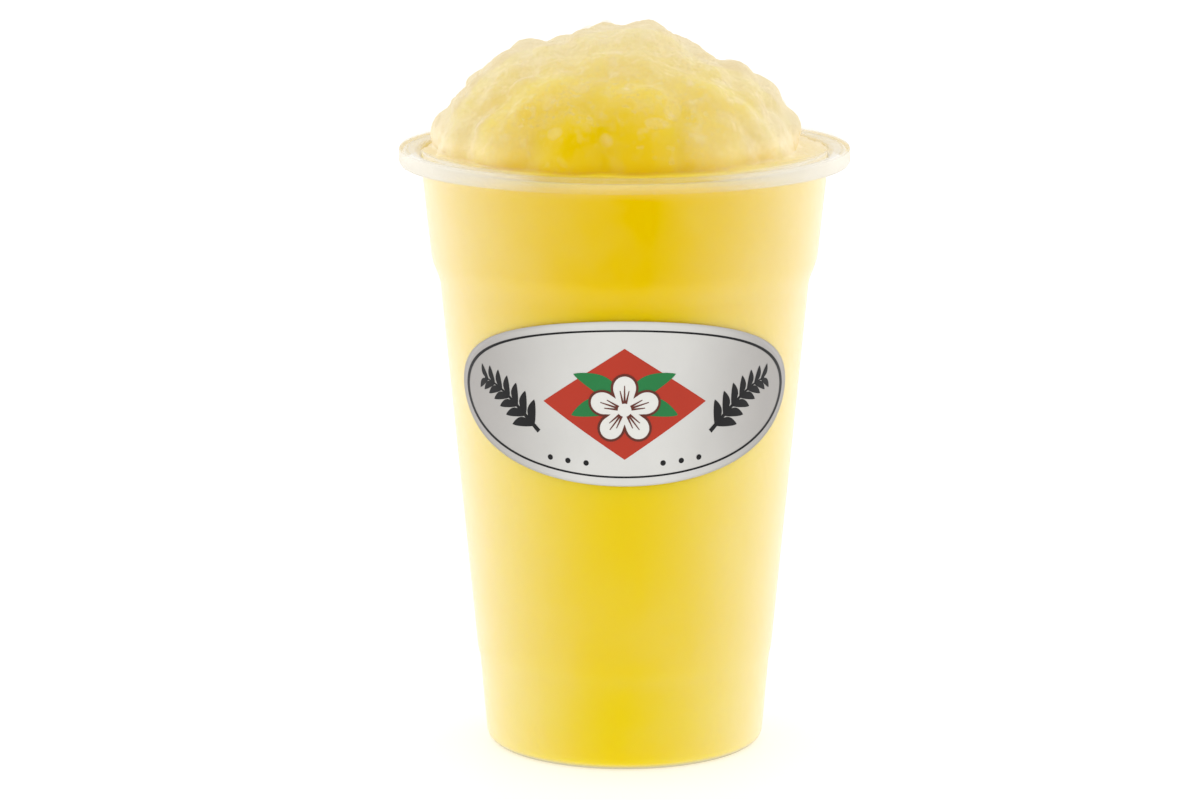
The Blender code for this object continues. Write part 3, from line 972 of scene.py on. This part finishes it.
def skin_share(tree, place, x, height):
    """How far the skin stops light however it is seen: in patches, and low on both sides of the heap as
    painted glow of the back lights through its thin sides.
    """
    patches = 0.0
    for kind in SKIN_PATCHES:
        field = noise_node(tree, place, kind["cell"], kind["detail"])
        patches = math_node(tree, "ADD", patches, ramp(tree, field, kind["span"], (0.0, kind["share"])))
    patches = math_node(tree, "MULTIPLY", patches, ramp(tree, height, FAINT_SPAN, (FAINT_PATCHES, 1.0)))
    # Painted light: more cream low on the left and right, standing in for back light shining through the
    # heap's sides.
    right = ramp(tree, x, RIGHT_GLOW_SPAN, (0.0, RIGHT_GLOW))
    left = ramp(tree, x, LEFT_GLOW_SPAN, (0.0, LEFT_GLOW))
    low = ramp(tree, height, SIDE_GLOW_TOP)
    low = math_node(tree, "MULTIPLY", low, ramp(tree, height, SIDE_GLOW_BOTTOM, (SIDE_GLOW_LEAST, 1.0)))
    sides = math_node(tree, "MULTIPLY", math_node(tree, "ADD", right, left), low)
    return math_node(tree, "ADD", patches, sides)


def skin_material():
    """Drained wet ice over the heap: see-through face on, cream where it is seen along its surface, with
    painted light as a brighter cream round its foot.
    """
    mat, tree, shader = new_material("drained_ice")
    place = place_node(tree)
    x, _, height = axes(tree, place)
    # Painted light: a brighter cream round the heap's foot, lifting the shade of the crease there.
    foot = ramp(tree, height, SKIN_FOOT_LIT_TOP)
    foot = math_node(tree, "MULTIPLY", foot, ramp(tree, height, SKIN_FOOT_LIT_BOTTOM))
    tone = noise_node(tree, place, SKIN_TONE_CELL)
    cream = colour_mix(tree, tone, *[linear(*t) for t in SKIN_TONES])
    fill(tree, shader.inputs["Base Color"], colour_mix(tree, foot, cream, linear(*SKIN_FOOT_LIT)))
    wide, deep, high = CORE_SIZES
    weights = ((high / wide) ** 2, (high / deep) ** 2, SKIN_UPRIGHT)
    normal = broad_normal(tree, place, (HEAP_SHIFT, 0.0, CORE_Z), weights, SKIN_OWN_SHARE)
    turned = edge_on(tree, SKIN_FACINGS, (0.0, 1.0), normal)
    share = math_node(tree, "ADD", turned, skin_share(tree, place, x, height), clamp=True)
    fill(tree, shader.inputs["Alpha"], frosted(tree, place, share, depth=1.0))
    fine = noise_node(tree, place, SKIN_GRAIN_CELL, detail=3.0, roughness=0.6)
    fill(tree, shader.inputs["Roughness"], ramp(tree, fine, NOISE_SPAN, SKIN_ROUGHNESS))
    fill(tree, shader.inputs["Normal"], bump(tree, fine, SKIN_BUMP, strength=0.5))
    set_sockets(shader, {"IOR": ICE_IOR, "Specular IOR Level": 0.3})
    return mat


def ice_material(name, tones, roughness, shares):
    """Wet ice with a breath of mango, fainter round the heap's foot.

    shares are of the light stopped in the middle of a piece of ice, and at its edges.
    """
    mat, tree, shader = new_material(name)
    place = place_node(tree)
    height = axes(tree, place)[2]
    tone = ramp(tree, noise_node(tree, place, ICE_TONE_CELL), ICE_TONE_SPAN)
    fill(tree, shader.inputs["Base Color"], colour_mix(tree, tone, *[linear(*t) for t in tones]))
    grain = noise_node(tree, place, ICE_GRAIN_CELL)
    roughnesses = (roughness, roughness + ICE_ROUGHNESS_RANGE)
    fill(tree, shader.inputs["Roughness"], ramp(tree, grain, NOISE_SPAN, roughnesses))
    faint = ramp(tree, height, FAINT_SPAN, (FAINT_ICE, 1.0))
    share = math_node(tree, "MULTIPLY", edge_on(tree, ICE_FACINGS, shares), faint)
    fill(tree, shader.inputs["Alpha"], frosted(tree, place, share, ICE_FROST_DEPTH))
    set_sockets(shader, {"IOR": ICE_IOR})
    return mat


def cup_material(name, tones, roughness, facings, shares, own_share, depth, gloss):
    """Thin frosted plastic: clear face on, milkier edge on, greyer at the foot, clearer on top of the lip.

    own_share is how far its small forms count in how milky it is, and depth is how far the frosting
    breaks that up.
    """
    mat, tree, shader = new_material(name)
    place = place_node(tree)
    height = axes(tree, place)[2]
    thick = ramp(tree, height, THICK_SPAN, (0.0, THICK_SHARE))
    colour = colour_mix(tree, noise_node(tree, place, CLOUD_CELL), *[linear(*t) for t in tones])
    tint = math_node(tree, "MULTIPLY", thick, THICK_TINT)
    fill(tree, shader.inputs["Base Color"], colour_mix(tree, tint, colour, linear(*THICK_TONE)))
    grain = noise_node(tree, place, PLASTIC_GRAIN_CELL)
    roughnesses = (roughness, roughness + PLASTIC_ROUGHNESS_RANGE)
    fill(tree, shader.inputs["Roughness"], ramp(tree, grain, NOISE_SPAN, roughnesses))
    normal = broad_normal(tree, place, (0.0, 0.0, 0.0), (1.0, 1.0, 0.0), own_share)
    share = math_node(tree, "ADD", edge_on(tree, facings, shares, normal), thick)
    share = math_node(tree, "MULTIPLY", share, ramp(tree, height, LIP_TOP_SPAN, (1.0, LIP_TOP_SHARE)))
    fill(tree, shader.inputs["Alpha"], frosted(tree, place, share, depth))
    set_sockets(shader, {"IOR": PLASTIC_IOR, "Specular IOR Level": gloss})
    return mat


def label_material(name, tone, roughness, spread, metallic=0.0, ends=None):
    """Printed satin film: an ink with slight changes of tone and gloss.

    ends is a tone that it turns to at the label's ends, painted shade where the label turns away round the
    cup.
    """
    mat, tree, shader = new_material(name)
    place = place_node(tree)
    colour = linear(*tone)
    # Painted shade: the film darkens towards both ends, where the label turns away round the cup.
    if ends is not None:
        x = axes(tree, place)[0]
        aside = ramp(tree, math_node(tree, "ABSOLUTE", x), FILM_ENDS_SHADE_SPAN)
        colour = colour_mix(tree, aside, colour, linear(*ends))
    cloud = noise_node(tree, place, PRINT_TONE_CELL, detail=3.0)
    shade = ramp(tree, cloud, (0.0, 1.0), (1 - spread, 1 + spread), smooth=False)
    shaded = tree.nodes.new("ShaderNodeVectorMath")
    shaded.operation = "SCALE"
    fill(tree, shaded.inputs[0], colour[:3] if isinstance(colour, tuple) else colour)
    fill(tree, shaded.inputs["Scale"], shade)
    fill(tree, shader.inputs["Base Color"], shaded.outputs["Vector"])
    fibre = noise_node(tree, place, FIBRE_CELL)
    roughnesses = [roughness + change for change in PRINT_ROUGHNESS_RANGE]
    fill(tree, shader.inputs["Roughness"], ramp(tree, fibre, NOISE_SPAN, roughnesses))
    fill(tree, shader.inputs["Normal"], bump(tree, fibre, FIBRE_BUMP, strength=0.4))
    set_sockets(shader, {"Metallic": metallic, "Specular IOR Level": 0.25})
    return mat


def floor_material():
    mat, tree, shader = new_material("pale_floor")
    tone = noise_node(tree, place_node(tree), STAGE_TONE_CELL)
    fill(tree, shader.inputs["Base Color"], colour_mix(tree, tone, *[linear(*t) for t in STAGE_TONES]))
    set_sockets(shader, {"Roughness": 0.6, "Emission Color": WHITE, "Emission Strength": STAGE_GLOW})
    return mat


def make_light(name, place, target_height, size, power):
    lamp = bpy.data.lights.new(name, "AREA")
    lamp.shape = "RECTANGLE"
    lamp.size, lamp.size_y = size
    lamp.energy = power
    obj = bpy.data.objects.new(name, lamp)
    bpy.context.scene.collection.objects.link(obj)
    obj.location = place
    towards = Vector((0, 0, target_height)) - Vector(place)
    obj.rotation_euler = towards.to_track_quat("-Z", "Y").to_euler()
    obj.visible_camera = False


def make_stage():
    """White studio light, and a pale floor."""
    world = bpy.data.worlds.new("studio")
    world.use_nodes = True
    set_sockets(world.node_tree.nodes["Background"], {"Color": WHITE, "Strength": SKY_STRENGTH})
    bpy.context.scene.world = world
    bpy.context.scene.view_settings.view_transform = "Standard"

    shape = bmesh.new()
    bmesh.ops.create_circle(shape, cap_ends=True, segments=STAGE_SIDES, radius=STAGE_RADIUS)
    mesh = bpy.data.meshes.new("floor")
    shape.to_mesh(mesh)
    shape.free()
    mesh.materials.append(floor_material())
    floor = bpy.data.objects.new("floor", mesh)
    bpy.context.scene.collection.objects.link(floor)

    for name, light in LIGHTS.items():
        make_light(name, *light)


def make_camera():
    """The photograph's view, with the cup's axis at its column of the image."""
    camera = bpy.data.cameras.new("camera")
    camera.lens = LENS
    camera.sensor_width = SENSOR
    camera.shift_x = -(AXIS_COLUMN - IMAGE_WIDTH / 2) / IMAGE_WIDTH
    camera.clip_start = CLIP_START
    camera.clip_end = CLIP_END
    obj = bpy.data.objects.new("camera", camera)
    bpy.context.scene.collection.objects.link(obj)
    away = Vector((0, -math.cos(VIEW_ELEVATION), math.sin(VIEW_ELEVATION)))
    obj.location = VIEW_TARGET + away * VIEW_DISTANCE
    obj.rotation_euler = (-away).to_track_quat("-Z", "Y").to_euler()
    bpy.context.scene.camera = obj


def main():
    make_slush(
        slush_material("mango_slush_heap", heap=True),
        slush_material("mango_slush_wall", heap=False),
        skin_material(),
        ice_material("sunken_ice", ((238, 216, 150), (244, 228, 182)), roughness=0.50, shares=(0.26, 0.0)),
        ice_material("ice_chips", ((236, 210, 118), (242, 224, 160)), roughness=0.40, shares=(0.17, 0.04)),
    )
    make_cup(
        cup_material("frosted_plastic", ((251, 235, 206), (255, 240, 214)), roughness=0.32,
                     facings=(0.03, 0.98), shares=(0.0, 1.0), own_share=0.4, depth=1.0, gloss=0.5),
        cup_material("frosted_lip", ((234, 227, 211), (243, 237, 222)), roughness=0.30,
                     facings=(0.08, 0.50), shares=(0.06, 0.85), own_share=0.1, depth=0.4, gloss=0.2),
    )
    inks = {use: label_material(*ink) for use, ink in INKS.items()}
    inks["ground"] = label_material(*FILM, metallic=FILM_METALLIC, ends=FILM_ENDS_SHADE_TONE)
    make_label(inks)
    make_stage()
    make_camera()


main()
